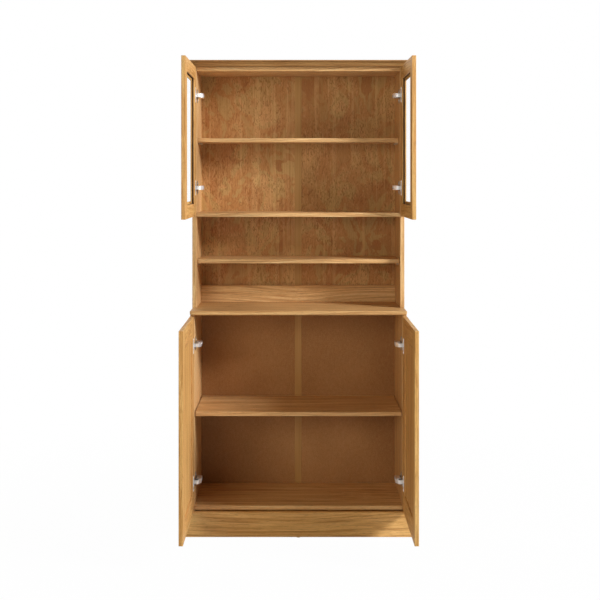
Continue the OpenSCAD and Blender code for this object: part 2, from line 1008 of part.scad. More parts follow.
module lower_left_bottom_rail() {
    color(oak_door) lower_bottom_rail();
}

module lower_left_panel() {
    color(oak_door) lower_panel();
}

module lower_left_hinge_cups() {
    color(steel) lower_cups();
}

module lower_right_hinge_stile() {
    color(oak_door) right_hand() lower_hinge_stile();
}

module lower_right_meeting_stile() {
    color(oak_door) right_hand() lower_meeting_stile();
}

module lower_right_top_rail() {
    color(oak_door) right_hand() lower_top_rail();
}

module lower_right_bottom_rail() {
    color(oak_door) right_hand() lower_bottom_rail();
}

module lower_right_panel() {
    color(oak_door) right_hand() lower_panel();
}

module lower_right_hinge_cups() {
    color(steel) right_hand() lower_cups();
}

// Hinges on the cabinet, drawn about their pin: x toward the middle of the
// cabinet, y toward its back, z along the pin

// Places a shape at every hinge of the cabinet
module at_hinges() {
    for (p = hinge_places) {
        translate([pin_x, p[0] - pin_lead, p[1]]) children();
        right_hand() translate([pin_x, p[0] - pin_lead, p[1]]) children();
    }
}

// Outline of a strip of even thickness along a route, with mitred corners
function unit(v) = v / norm(v);
function left_of(v) = [-v[1], v[0]];
function mitre(p, i) =
    let (a = unit(p[max(i, 1)] - p[max(i, 1) - 1]),
         b = unit(p[min(i, len(p) - 2) + 1] - p[min(i, len(p) - 2)]),
         m = unit(left_of(a) + left_of(b)))
    m / (m * left_of(a));
function strip_outline(p, half) = concat(
    [for (i = [0:len(p) - 1]) p[i] + half * mitre(p, i)],
    [for (i = [len(p) - 1:-1:0]) p[i] - half * mitre(p, i)]
);

// The arm's strip, lower where it runs in the cup and lowest at its neck
module arm_strip() {
    reach = arm_h + cut;
    difference() {
        translate([0, 0, -arm_h / 2]) linear_extrude(arm_h)
            polygon(strip_outline(arm_route, arm_t / 2));
        for (s = [0, 1]) mirror([0, 0, s]) {
            block([-reach, -reach, strip_in_cup_h / 2], [arm_web_u - cut, arm_route[4][1], reach]);
            block([-reach, -reach, neck_h / 2], [neck_u, knuckle_r, reach]);
        }
    }
}

module hinge_arm() {
    difference() {
        union() {
            translate([0, 0, -neck_h / 2]) cylinder(h = neck_h, r = knuckle_r);
            arm_strip();
            for (s = [0, 1]) mirror([0, 0, s])
                block([arm_cheek_u, arm_cheek_v[0], arm_h / 2 - arm_cheek_t],
                      [arm_web_u, arm_cheek_v[1], arm_h / 2]);
        }
        translate([0, 0, -neck_h / 2 - cut]) cylinder(h = neck_h + 2 * cut, r = pin_d / 2 + run);
        for (v = arm_screw_v)
            rod_x([arm_web_u - arm_t, v, 0], arm_screw_r + fit, 2 * arm_t);
    }
}

module hinge_plate() {
    v = pin_lead + plate_from_front;
    difference() {
        union() {
            block([wall_u, v - plate_wing[0] / 2, -plate_wing[1] / 2],
                  [wall_u + plate_t, v + plate_wing[0] / 2, plate_wing[1] / 2]);
            block([wall_u, ridge_v[0], -ridge_h / 2], [ridge_u, ridge_v[1], ridge_h / 2]);
        }
        for (s = [-1, 1])
            rod_x([wall_u - cut, v, s * plate_screw_gap / 2], plate_screw_r + fit, plate_t + 2 * cut);
        for (a = arm_screw_v)
            rod_x([ridge_u - arm_seat_len, a, 0], arm_screw_r + fit, arm_seat_len + cut);
    }
}

module plate_screw() {
    v = pin_lead + plate_from_front;
    for (s = [-1, 1]) {
        rod_x([wall_u - plate_screw_len, v, s * plate_screw_gap / 2], plate_screw_r,
              plate_screw_len + plate_t);
        rod_x([wall_u + plate_t, v, s * plate_screw_gap / 2], plate_head_r, plate_head_t);
    }
}

module arm_screw() {
    outer = arm_web_u + arm_t / 2;
    for (v = arm_screw_v) {
        rod_x([outer - arm_screw_len, v, 0], arm_screw_r, arm_screw_len);
        rod_x([outer, v, 0], arm_head_r, arm_head_t);
    }
}

module hinge_arms() {
    color(steel) at_hinges() hinge_arm();
}

module hinge_plates() {
    color(steel) at_hinges() hinge_plate();
}

module hinge_plate_screws() {
    color(steel) at_hinges() plate_screw();
}

module hinge_arm_screws() {
    color(steel) at_hinges() arm_screw();
}

base_side_left();
base_side_right();
base_bottom();
base_shelf();
base_back_left();
base_back_right();
base_back_joint_strip();
plinth_front();
plinth_left();
plinth_right();
plinth_back();
floor_glides();
worktop();
shelf_pins();
hutch_side_left();
hutch_side_right();
hutch_top();
hutch_mid_shelf();
hutch_glazed_shelf();
hutch_open_shelf();
hutch_back_left();
hutch_back_right();
hutch_back_joint_strip();
upstand_rail();
cornice_front();
cornice_left();
cornice_right();
dowels();
upper_left_hinge_stile();
upper_left_meeting_stile();
upper_left_top_rail();
upper_left_bottom_rail();
upper_left_glass();
upper_left_glazing_seal();
upper_left_glazing_beads();
upper_left_hinge_cups();
upper_right_hinge_stile();
upper_right_meeting_stile();
upper_right_top_rail();
upper_right_bottom_rail();
upper_right_glass();
upper_right_glazing_seal();
upper_right_glazing_beads();
upper_right_hinge_cups();
lower_left_hinge_stile();
lower_left_meeting_stile();
lower_left_top_rail();
lower_left_bottom_rail();
lower_left_panel();
lower_left_hinge_cups();
lower_right_hinge_stile();
lower_right_meeting_stile();
lower_right_top_rail();
lower_right_bottom_rail();
lower_right_panel();
lower_right_hinge_cups();
hinge_arms();
hinge_plates();
hinge_plate_screws();
hinge_arm_screws();
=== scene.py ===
# %% [markdown]
# # A display cabinet in oak
# The real cabinet is a base cupboard with two panelled doors and, standing on its worktop, a shallower hutch
# with an open compartment and a pair of glazed doors. All four doors stand open.
# The joiner's exact solids are loaded first as a fixed frame. Every visible piece is then worked out around
# them, in metres and in the same place, so nothing has to be fitted by eye.

# %% Load the frame
import json
import math

import bmesh
import bpy
import numpy as np
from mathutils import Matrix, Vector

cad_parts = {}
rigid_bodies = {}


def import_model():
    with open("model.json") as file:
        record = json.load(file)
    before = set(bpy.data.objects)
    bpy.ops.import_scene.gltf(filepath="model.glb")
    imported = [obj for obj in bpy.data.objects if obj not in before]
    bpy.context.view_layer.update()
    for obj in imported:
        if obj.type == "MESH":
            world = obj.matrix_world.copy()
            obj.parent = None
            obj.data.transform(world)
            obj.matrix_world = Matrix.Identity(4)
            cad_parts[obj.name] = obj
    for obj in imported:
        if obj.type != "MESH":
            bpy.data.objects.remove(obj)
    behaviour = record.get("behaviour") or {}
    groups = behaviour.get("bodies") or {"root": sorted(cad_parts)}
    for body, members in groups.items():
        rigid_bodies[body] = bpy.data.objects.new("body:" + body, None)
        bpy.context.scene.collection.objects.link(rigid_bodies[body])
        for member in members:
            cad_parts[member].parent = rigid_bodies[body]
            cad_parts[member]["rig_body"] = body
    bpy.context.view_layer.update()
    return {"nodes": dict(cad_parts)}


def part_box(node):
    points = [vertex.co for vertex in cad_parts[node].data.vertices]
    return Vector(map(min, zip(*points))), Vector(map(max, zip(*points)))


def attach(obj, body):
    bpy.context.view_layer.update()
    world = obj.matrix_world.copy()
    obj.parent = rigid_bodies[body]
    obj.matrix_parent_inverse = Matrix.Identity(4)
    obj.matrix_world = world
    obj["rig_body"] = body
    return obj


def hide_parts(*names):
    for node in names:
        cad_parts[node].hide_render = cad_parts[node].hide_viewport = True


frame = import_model()
nodes = frame["nodes"]

# %% [markdown]
# ## The camera
# The photograph is a one-point view: upright edges stay upright, and the depth runs to one vanishing point.
# That means a level camera whose picture is shifted down and not tilted. Its eye height is the height of
# the vanishing point on the cabinet, and its lens comes from how fast the open doors grow toward it.

# %% Camera
PICTURE = 600
FOCAL = 1082.8
VANISHING = (295.0, 180.0)
EYE = (-0.0129, -4.04125, 1.342)

view = bpy.data.cameras.new("studio_camera")
view.sensor_width = 36.0
view.lens = view.sensor_width * FOCAL / PICTURE
view.shift_x = (PICTURE / 2 - VANISHING[0]) / PICTURE
view.shift_y = (VANISHING[1] - PICTURE / 2) / PICTURE
camera = bpy.data.objects.new("studio_camera", view)
camera.location = EYE
camera.rotation_euler = (math.pi / 2, 0.0, 0.0)
bpy.context.scene.collection.objects.link(camera)
bpy.context.scene.camera = camera
bpy.context.scene.view_settings.view_transform = "Standard"
print("lens %.2f mm, shift %.4f %.4f" % (view.lens, view.shift_x, view.shift_y))

# %% [markdown]
# ## Boards as carried profiles
# A board could be a cube with a Bevel, but then a moulding, a mitre and a rounded worktop would each need
# another way. One rule makes them all: a profile is rounded at its corners and carried along the grain.
# Toward an end the whole profile draws in along a quarter circle, so the end is eased like the edges.

# %% Profile and skin
TURN = {"x": (0, 1, 2), "y": (1, 2, 0), "z": (2, 0, 1)}
EDGE = 0.0012
SAME_POINT, SAME_PLANE = 2e-6, math.radians(0.5)


def rounding(corners, radii, steps):
    """Centre c, radius r and direction u of every point round a profile that runs anticlockwise.
    c = corner - r m, where m = (n1 + n2) / (1 + n1.n2) and n1, n2 are the outward normals of the sides that
    meet there. u turns from n1 to n2 in even steps, or stays m in a hollow corner."""
    corners = np.asarray(corners, float)
    side = np.roll(corners, -1, axis=0) - corners
    side /= np.linalg.norm(side, axis=1, keepdims=True)
    after = np.stack([side[:, 1], -side[:, 0]], axis=1)
    before = np.roll(after, 1, axis=0)
    straight = (before * after).sum(axis=1)
    turn = np.arctan2(before[:, 0] * after[:, 1] - before[:, 1] * after[:, 0], straight)
    mitre = (before + after) / (1 + straight)[:, None]
    angle = np.arctan2(before[:, 1], before[:, 0])[:, None] + turn[:, None] * np.linspace(0, 1, steps)
    u = np.stack([np.cos(angle), np.sin(angle)], axis=2)
    u[turn < 0] = mitre[turn < 0][:, None, :]
    r = np.repeat(np.asarray(radii, float), steps)
    c = np.repeat(corners - np.asarray(radii, float)[:, None] * mitre, steps, axis=0)
    return c, r, u.reshape(-1, 2)


def carried(corners, radii, span, axis, end_ease=EDGE, steps=5, cuts=(None, None)):
    """Rings of a profile carried along an axis from span[0] to span[1].
    A ring's point is c + (r - e (1 - sin t)) u, and it lies e (1 - cos t) short of the end, with
    e = min(r, end_ease) and t from 0 at the end to a quarter turn. A cut is a function that gives the end's
    place from the profile's two coordinates, as for a mitre, and has no easing."""
    c, r, u = rounding(corners, radii, steps)
    e = np.minimum(r, end_ease)
    full = c + r[:, None] * u
    t = np.linspace(0, math.pi / 2, steps)[:, None]
    rings = []
    for end, sign, cut in ((span[0], 1, cuts[0]), (span[1], -1, cuts[1])):
        if cut:
            place = cut(full[:, 0], full[:, 1])[None, :]
            across = full[None]
        else:
            place = end + sign * e * (1 - np.cos(t))
            across = c + (r - e * (1 - np.sin(t)))[:, :, None] * u
        ring = np.concatenate([place[:, :, None], across], axis=2)
        rings.append(ring if sign > 0 else ring[::-1])
    rings = np.concatenate(rings)
    out = np.empty_like(rings)
    out[:, :, list(TURN[axis])] = rings
    return out


def sewn(name, grids):
    """Mesh over one or more grids of rings: quads join each ring to the next and wrap round it, one face
    closes each end, and points that fall together are merged."""
    points, faces, first = [], [], 0
    for rings in grids:
        count, around = rings.shape[:2]
        index = first + np.arange(count * around).reshape(count, around)
        ahead = np.roll(index, -1, axis=1)
        quads = np.stack([index[:-1], ahead[:-1], ahead[1:], index[1:]], axis=2)
        faces += quads.reshape(-1, 4).tolist() + [index[0, ::-1].tolist(), index[-1].tolist()]
        points.append(rings.reshape(-1, 3))
        first += count * around
    mesh = bpy.data.meshes.new(name)
    mesh.from_pydata(np.concatenate(points).tolist(), [], faces)
    return merged(mesh)


def merged(mesh, flatten=False):
    """Merges points that fall together; with flatten, faces in one plane become one face."""
    work = bmesh.new()
    work.from_mesh(mesh)
    bmesh.ops.remove_doubles(work, verts=work.verts, dist=SAME_POINT)
    if flatten:
        bmesh.ops.dissolve_limit(work, angle_limit=SAME_PLANE, verts=work.verts, edges=work.edges)
    work.to_mesh(mesh)
    work.free()
    return mesh


print("edges are eased by %.1f mm, points within %.0f um are one" % (EDGE * 1e3, SAME_POINT * 1e6))

# %% [markdown]
# ## How a piece joins the cabinet
# Each piece stands for one solid of the frame: it hides that solid, rides on the same body, so that a door's
# pieces swing with the door, and takes a finish. It also carries the grain's own measure: a point's place
# along, across and into the board, moved by an amount of its own, as if each board came from another tree.
# Four beads that share one solid are told apart by their edges, so that each has grain along its length.

# %% Grain and settling
SHIFT_LOW, SHIFT_HIGH = (-4.0, -0.14, 0.05), (4.0, 0.14, 0.22)


def lumps(mesh):
    """A number for every point, the same all over each connected lump: the lowest number in it, which
    spreads along the edges."""
    ends = np.empty(len(mesh.edges) * 2, int)
    mesh.edges.foreach_get("vertices", ends)
    first, second = ends.reshape(-1, 2).T
    number = np.arange(len(mesh.vertices))
    while (number[first] != number[second]).any():
        low = np.minimum(number[first], number[second])
        np.minimum.at(number, first, low)
        np.minimum.at(number, second, low)
    return number


def grained(obj, axis):
    """Stores g = (along, across, deep) + a shift from the piece's name, as a point attribute. With "longest"
    for an axis, every lump of the piece has its grain along its own length."""
    co = np.empty(len(obj.data.vertices) * 3, np.float32)
    obj.data.vertices.foreach_get("co", co)
    co = co.reshape(-1, 3)
    shift = np.random.default_rng([ord(letter) for letter in obj.name]).uniform(SHIFT_LOW, SHIFT_HIGH)
    grain = np.empty_like(co)
    number = lumps(obj.data) if axis == "longest" else np.zeros(len(co), int)
    for lump in np.unique(number):
        here = number == lump
        along = "xyz"[int(np.ptp(co[here], axis=0).argmax())] if axis == "longest" else axis
        grain[here] = co[here][:, TURN[along]] + shift
    grain[:, 1:] -= grain[:, 1:].mean(axis=0) - shift[1:]
    obj.data.attributes.new("grain", "FLOAT_VECTOR", "POINT").data.foreach_set("vector", grain.ravel())


def settle(name, mesh, node, finish, axis=None):
    """Makes the object, gives it grain and finish, and lets it stand for the node."""
    obj = bpy.data.objects.new(name, mesh)
    bpy.context.scene.collection.objects.link(obj)
    if axis:
        grained(obj, axis)
    mesh.materials.clear()
    mesh.materials.append(finish)
    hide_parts(node)
    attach(obj, nodes[node]["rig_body"])
    return obj


def limits(node):
    """Lowest and highest corner of a solid, as two arrays in metres."""
    low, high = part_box(node)
    return np.array(low), np.array(high)


print("grain shifts lie between", SHIFT_LOW, "and", SHIFT_HIGH)

# %% [markdown]
# ## Writing finishes
# A finish is a graph of nodes. Written one node at a time it hides the sums in it, so a small class wraps a
# socket and lets Python's own signs add the Math nodes. Every other node comes from one method.

# %% Node helpers
class Value:
    """What flows out of a socket. + - * / and ** between numbers add Math nodes."""

    def __init__(self, finish, socket):
        self.finish, self.socket = finish, socket

    def math(self, operation, first, second):
        return self.finish.node("ShaderNodeMath", {"operation": operation}, {0: first, 1: second})

    def __add__(self, other):
        return self.math("ADD", self, other)

    def __sub__(self, other):
        return self.math("SUBTRACT", self, other)

    def __rsub__(self, other):
        return self.math("SUBTRACT", other, self)

    def __mul__(self, other):
        return self.math("MULTIPLY", self, other)

    def __truediv__(self, other):
        return self.math("DIVIDE", self, other)

    def __pow__(self, other):
        return self.math("POWER", self, other)

    __radd__ = __add__
    __rmul__ = __mul__


class Finish:
    """A material, or the world where that is given, and the making of its nodes."""

    def __init__(self, name, world=None):
        self.material = world or bpy.data.materials.new(name)
        self.material.use_nodes = True
        self.tree = self.material.node_tree
        self.tree.nodes.clear()

    def node(self, kind, settings, sockets, out=0):
        """One node: its settings, with a ramp's stops among them, then the values or links of its sockets."""
        made = self.tree.nodes.new(kind)
        for key, value in settings.items():
            if key == "stops":
                ramp = made.color_ramp.elements
                while len(ramp) < len(value):
                    ramp.new(1.0)
                for element, (place, colour) in zip(ramp, value):
                    element.position = place
                    element.color = colour
            else:
                setattr(made, key, value)
        for key, value in sockets.items():
            if isinstance(value, Value):
                self.tree.links.new(value.socket, made.inputs[key])
            else:
                made.inputs[key].default_value = value
        return Value(self, made.outputs[out]) if made.outputs else None

    def scaled(self, vector, factors):
        """A place with each of its coordinates multiplied by a factor of its own."""
        return self.node("ShaderNodeVectorMath", {"operation": "MULTIPLY"}, {0: vector, 1: factors})

    def noise(self, vector, factors, detail=2.0, distortion=0.0):
        """Smooth noise of a place multiplied by one factor for each axis: 40 gives patches 25 mm wide."""
        return self.node("ShaderNodeTexNoise", {}, {
            "Vector": self.scaled(vector, factors), "Scale": 1.0, "Detail": detail, "Distortion": distortion})

    def ramp(self, value, stops):
        """The colour that a value meets on a row of stops."""
        return self.node("ShaderNodeValToRGB", {"stops": stops}, {"Fac": value})

    def step(self, value, low, high):
        """0 below low, 1 above high, and a smooth rise between."""
        return self.node("ShaderNodeMapRange", {"interpolation_type": "SMOOTHSTEP"},
                         {"Value": value, "From Min": low, "From Max": high})

    def mix(self, factor, first, second):
        """The first colour where the factor is 0, the second where it is 1."""
        return self.node("ShaderNodeMix", {"data_type": "RGBA"}, {0: factor, 6: first, 7: second}, 2)

    def bump(self, height, strength, distance):
        """A normal that leans as if the height were real, a height of 1 being so many metres."""
        return self.node("ShaderNodeBump", {}, {"Height": height, "Strength": strength, "Distance": distance})

    def seen(self):
        """1 for the rays that show a thing to the eye: camera rays, mirrored ones and those through glass."""
        rays = []
        for kind in ("Camera", "Glossy", "Transmission"):
            rays.append(self.node("ShaderNodeLightPath", {}, {}, "Is %s Ray" % kind))
        first = rays[0].math("MAXIMUM", rays[0], rays[1])
        return first.math("MAXIMUM", first, rays[2])

    def surface(self, sockets):
        """A Principled shader with these sockets, led to the output."""
        shader = self.node("ShaderNodeBsdfPrincipled", {}, sockets)
        self.node("ShaderNodeOutputMaterial", {}, {"Surface": shader})
        return self.material


def paint(red, green, blue):
    """A colour as a painter reads it off, 0 to 255, in the linear light that nodes work with."""
    tone = np.array([red, green, blue]) / 255
    linear = np.where(tone <= 0.04045, tone / 12.92, ((tone + 0.055) / 1.055) ** 2.4)
    return (*linear.tolist(), 1.0)


print("a mid grey of 128 is %.3f in linear light" % paint(128, 128, 128)[0])

# %% [markdown]
# ## Oak
# Oak shows several scales at once: soft streaks a finger wide, darker veins, the yearly rings, and fine dark
# pores that run with the grain. A flat wood picture would slide and repeat, so the rings are worked out as
# they grow, as distances from the middle of a trunk that wanders slowly, and the rest is noise stretched
# along it. The cabinet is one lacquered oak, written here in five depths of tone from pale carcass to dark
# cornice. The plinth's lighter tone is painted light, where the open doors shade it, and the cornice's darker
# tone is painted shade, where its hollow leans away from the light above.

# %% Oak
YEAR_RING = 0.0046


def oak(name, pale, honey, rosy, brown, pore, gloss, sheen):
    """A yearly ring is the fraction of r / 4.6 mm, with r the distance from the middle of a wandering trunk.
    Streaks and veins are noise drawn out along the grain, and pores are short dots outside the late wood."""
    finish = Finish(name)
    grain = finish.node("ShaderNodeAttribute", {"attribute_name": "grain"}, {}, "Vector")
    part = {}
    for axis in "XYZ":
        part[axis] = finish.node("ShaderNodeSeparateXYZ", {}, {0: grain}, axis)
    across = part["Y"] + (finish.noise(grain, (0.7, 4, 4)) - 0.5) * 0.07
    deep = part["Z"] + (finish.noise(grain, (1.5, 3, 3), 1) - 0.5) * 0.10
    bent = finish.node("ShaderNodeCombineXYZ", {}, {0: part["X"], 1: across, 2: deep})
    radius = (across * across + deep * deep) ** 0.5
    year = finish.node("ShaderNodeMath", {"operation": "FRACT"}, {0: radius / YEAR_RING})
    late = finish.step(year, 0.35, 0.85) * (1 - finish.step(year, 0.9, 1.0))
    broad = finish.step(finish.noise(bent, (0.5, 12, 12), 2), 0.38, 0.62)
    streak = finish.noise(bent, (0.9, 62, 62), 3)
    fine = finish.noise(bent, (3.2, 210, 210), 3)
    fibre = finish.noise(bent, (14, 560, 560), 2)
    dots = finish.step(finish.noise(bent, (40, 1100, 1100), 1), 0.58, 0.68) * (1 - late)
    tone = streak * 0.4 + fine * 0.6
    warm = finish.ramp(tone, [(0.38, brown), (0.48, honey), (0.60, pale)])
    red = finish.ramp(tone, [(0.38, brown), (0.50, rosy), (0.62, pale)])
    colour = finish.mix(broad * 0.8, warm, red)
    vein = finish.step(finish.noise(bent, (1.5, 100, 100), 4, 0.6), 0.54, 0.70)
    colour = finish.mix(vein * 0.8, colour, brown)
    colour = finish.mix(finish.step(fibre, 0.42, 0.70) * 0.28 + late * 0.16, colour, brown)
    colour = finish.mix(dots * 0.5, colour, pore)
    height = fibre * 0.5 - dots * 0.8 - late * 0.2
    return finish.surface({
        "Base Color": colour,
        "Roughness": gloss + fibre * 0.16,
        "Specular IOR Level": sheen,
        "Normal": finish.bump(height, 0.25, 0.0004)})


oak_carcass = oak("oak_carcass", paint(238, 200, 142), paint(222, 177, 116), paint(222, 171, 112),
                  paint(186, 138, 86), paint(108, 72, 40), 0.40, 0.28)
oak_worktop = oak("oak_worktop", paint(224, 184, 124), paint(208, 162, 102), paint(208, 157, 100),
                  paint(176, 127, 74), paint(104, 68, 36), 0.40, 0.26)
oak_door = oak("oak_door", paint(229, 186, 118), paint(213, 164, 95), paint(215, 158, 96),
               paint(182, 131, 71), paint(108, 72, 38), 0.42, 0.12)
# The plinth's lighter copy of the oak is painted light: it lifts the plinth where the open doors shade it.
oak_plinth = oak("oak_plinth", paint(238, 192, 122), paint(221, 172, 102), paint(219, 166, 99),
                 paint(178, 128, 70), paint(100, 64, 30), 0.42, 0.22)
# The cornice's darker copy of the oak is painted shade: its hollow leans down, away from the light above.
oak_cornice = oak("oak_cornice", paint(187, 146, 90), paint(169, 127, 74), paint(169, 122, 71),
                  paint(136, 97, 52), paint(84, 52, 26), 0.42, 0.22)
print("oak finishes:", [m.name for m in (oak_carcass, oak_worktop, oak_door, oak_plinth, oak_cornice)])

# %% [markdown]
# ## The backs
# The hutch has a back of rotary-cut veneer. A blade peels it off the turning log, so its figure is wide and
# cloudy: islands of reddish brown and olive tan, short curled marks and fine upright lines. A slow noise
# stands in for the log's surface, and its contours are the islands' edges. The base has plain fibreboard,
# smooth and finely speckled. A thin strip covers the joint between the two halves of each.

# %% Back finishes
def veneer(name):
    """Rings peeled flat: h is a slow noise and the rings are its contours, so tones alternate where 7 h is
    near a whole number or half way, strongly in the wild places and faintly between. Fibres curl where h is
    high, which is a finer noise bent by itself."""
    finish = Finish(name)
    grain = finish.node("ShaderNodeAttribute", {"attribute_name": "grain"}, {}, "Vector")
    h = finish.noise(grain, (4.5, 7, 7), 7, 0.5)
    patch = finish.noise(grain, (5.5, 8, 8), 6, 0.8)
    ring = finish.node("ShaderNodeMath", {"operation": "PINGPONG"}, {0: h * 7 + patch, 1: 0.5})
    curl = finish.noise(grain, (42, 120, 120), 4, 1.8)
    line = finish.noise(grain, (5, 260, 260), 3)
    stripe = finish.noise(grain, (0.9, 34, 34), 3)
    fleck = finish.step(finish.noise(grain, (30, 320, 320), 2), 0.62, 0.72)
    wild = finish.step(finish.noise(grain, (1.6, 3.0, 3.0), 1), 0.38, 0.52) * 0.6 + 0.4
    base = finish.ramp(h, [(0.36, paint(167, 114, 64)), (0.50, paint(184, 132, 78)),
                           (0.64, paint(200, 152, 96))])
    olive = finish.mix(finish.step(ring, 0.24, 0.27) * wild * 0.90, base, paint(186, 149, 91))
    red = finish.mix(finish.step(patch, 0.46, 0.42) * wild * 0.65, olive, paint(171, 110, 61))
    pale = finish.mix(finish.step(stripe, 0.55, 0.60) * 0.35, red, paint(218, 176, 116))
    high = finish.step(h, 0.42, 0.54) * 0.75 + 0.25
    dark = finish.mix(finish.step(curl, 0.47, 0.38) * high * 0.60, pale, paint(128, 82, 40))
    light = finish.mix(finish.step(curl, 0.54, 0.64) * high * 0.40, dark, paint(214, 172, 114))
    ruled = finish.mix(finish.step(line, 0.45, 0.70) * 0.26, light, paint(142, 94, 50))
    colour = finish.mix(fleck * 0.4, ruled, paint(110, 70, 36))
    return finish.surface({
        "Base Color": colour, "Roughness": 0.50 + line * 0.12, "Specular IOR Level": 0.25,
        "Normal": finish.bump(line, 0.2, 0.0003)})


def fibreboard(name):
    """Pressed fibres: a speck, a fleece and a broad cloud are added up and read off one ramp."""
    finish = Finish(name)
    place = finish.node("ShaderNodeTexCoord", {}, {}, "Object")
    speck = finish.noise(place, (520, 520, 520), 3)
    fleece = finish.noise(place, (170, 170, 90), 3)
    broad = finish.noise(place, (4, 4, 3), 1)
    tone = speck * 0.55 + fleece * 0.15 + broad * 0.30
    colour = finish.ramp(tone, [(0.38, paint(146, 101, 58)), (0.50, paint(166, 120, 74)),
                                (0.62, paint(184, 138, 90))])
    return finish.surface({
        "Base Color": colour, "Roughness": 0.60 + speck * 0.1, "Specular IOR Level": 0.2,
        "Normal": finish.bump(speck, 0.15, 0.0003)})


def cover_strip(name):
    """A thin veneered strip with fine upright lines."""
    finish = Finish(name)
    place = finish.node("ShaderNodeTexCoord", {}, {}, "Object")
    line = finish.noise(place, (420, 420, 2.5), 2)
    colour = finish.ramp(line, [(0.30, paint(172, 130, 74)), (0.70, paint(188, 146, 88))])
    return finish.surface({
        "Base Color": colour, "Roughness": 0.45 + line * 0.1, "Specular IOR Level": 0.25,
        "Normal": finish.bump(line, 0.1, 0.0002)})


hutch_veneer = veneer("hutch_back_veneer")
base_board = fibreboard("base_back_fibreboard")
strip_finish = cover_strip("back_joint_strip")
print("back finishes:", [m.name for m in (hutch_veneer, base_board, strip_finish)])

# %% [markdown]
# ## Metal, glass and the small parts
# Hinge arms and cups are bright satin nickel, a metal whose gloss varies a little where it was drawn and
# handled. The plates on the sides have a dark plated tint, which is painted shade for the dark seen round
# the hinges. Screws are duller zinc, and shelf pins bronze. The panes are float glass. A pane this thin
# hardly bends light, so it lets through all but a trace, which it mirrors, more at a glance: a transparent
# and a mirror shader, mixed by Fresnel.

# %% Small finishes
def plated(name, tint, rough, scratch):
    """Plated steel: a slow haze darkens the tint by up to 12 % and dulls it, and rubbing marks it finely."""
    finish = Finish(name)
    place = finish.node("ShaderNodeTexCoord", {}, {}, "Object")
    rub = finish.noise(place, (900, 900, 120), 2)
    haze = finish.noise(place, (70, 70, 70), 2)
    return finish.surface({
        "Base Color": finish.mix(haze, tint, tuple(0.88 * c for c in tint[:3]) + (1.0,)),
        "Metallic": 1.0,
        "Roughness": rough + haze * 0.12 + rub * 0.06,
        "Normal": finish.bump(rub, scratch, 0.0001)})


def moulded(name, dark, light, rough):
    """Moulded rubber or plastic, whose fine cells lie between two tones."""
    finish = Finish(name)
    place = finish.node("ShaderNodeTexCoord", {}, {}, "Object")
    cell = finish.noise(place, (700, 700, 700), 2)
    return finish.surface({
        "Base Color": finish.ramp(cell, [(0.35, dark), (0.65, light)]),
        "Roughness": rough + cell * 0.12,
        "Normal": finish.bump(cell, 0.12, 0.0002)})


def beech(name):
    """The pale wood of the dowels, with lines along their length."""
    finish = Finish(name)
    place = finish.node("ShaderNodeTexCoord", {}, {}, "Object")
    line = finish.noise(place, (120, 420, 420), 2)
    colour = finish.ramp(line, [(0.35, paint(196, 158, 108)), (0.65, paint(220, 186, 138))])
    return finish.surface({"Base Color": colour, "Roughness": 0.6 + line * 0.1})


def pane(name):
    """Clear glass: a see-through shader, with 2.5 % of what Fresnel gives as a mirror."""
    finish = Finish(name)
    place = finish.node("ShaderNodeTexCoord", {}, {}, "Object")
    wave = finish.noise(place, (3, 3, 3), 1)
    clear = finish.node("ShaderNodeBsdfTransparent", {}, {"Color": (0.996, 1.0, 0.998, 1.0)})
    mirror = finish.node("ShaderNodeBsdfPrincipled", {}, {
        "Base Color": (0.95, 0.98, 0.97, 1.0), "Metallic": 1.0, "Roughness": 0.02,
        "Normal": finish.bump(wave, 0.02, 0.001)})
    glance = finish.node("ShaderNodeFresnel", {}, {"IOR": 1.5})
    both = finish.node("ShaderNodeMixShader", {}, {0: glance * 0.025, 1: clear, 2: mirror})
    finish.node("ShaderNodeOutputMaterial", {}, {"Surface": both})
    return finish.material


nickel = plated("hinge_nickel", (0.98, 0.98, 0.97, 1.0), 0.34, 0.06)
# The plates' dark tint is painted shade, for the dark seen round the hinges.
plate_painted_shade = plated("hinge_plate_smoked", (0.30, 0.28, 0.26, 1.0), 0.24, 0.10)
zinc = plated("zinc_plate", (0.52, 0.52, 0.51, 1.0), 0.30, 0.10)
bronze = plated("pin_bronze", (0.60, 0.45, 0.29, 1.0), 0.48, 0.12)
seal_rubber = moulded("glazing_rubber", paint(104, 72, 38), paint(126, 90, 50), 0.55)
glide_plastic = moulded("glide_plastic", paint(208, 202, 192), paint(228, 223, 214), 0.50)
dowel_wood = beech("dowel_beech")
glass = pane("float_glass")
print("small finishes:", [m.name for m in (nickel, plate_painted_shade, zinc, bronze, seal_rubber, glide_plastic,
                                           dowel_wood, glass)])

# %% [markdown]
# ## Carcass boards
# Sides, bottom, shelves, top and the rail behind the worktop are plain boards. Their edges were eased with
# fine paper, about a millimetre, which is what catches the light along each front edge. Sides have upright
# grain; everything that lies across has its grain from side to side.

# %% Carcass
def board(node, axis, finish, ease=EDGE, low=None, high=None):
    """A plain board between two corners, those of its solid unless others are given."""
    ends = limits(node)
    low = ends[0] if low is None else np.asarray(low, float)
    high = ends[1] if high is None else np.asarray(high, float)
    s, a, b = TURN[axis]
    corners = [(low[a], low[b]), (high[a], low[b]), (high[a], high[b]), (low[a], high[b])]
    rings = carried(corners, [ease] * 4, (low[s], high[s]), axis, ease)
    return settle("board_" + node, sewn(node, [rings]), node, finish, axis)


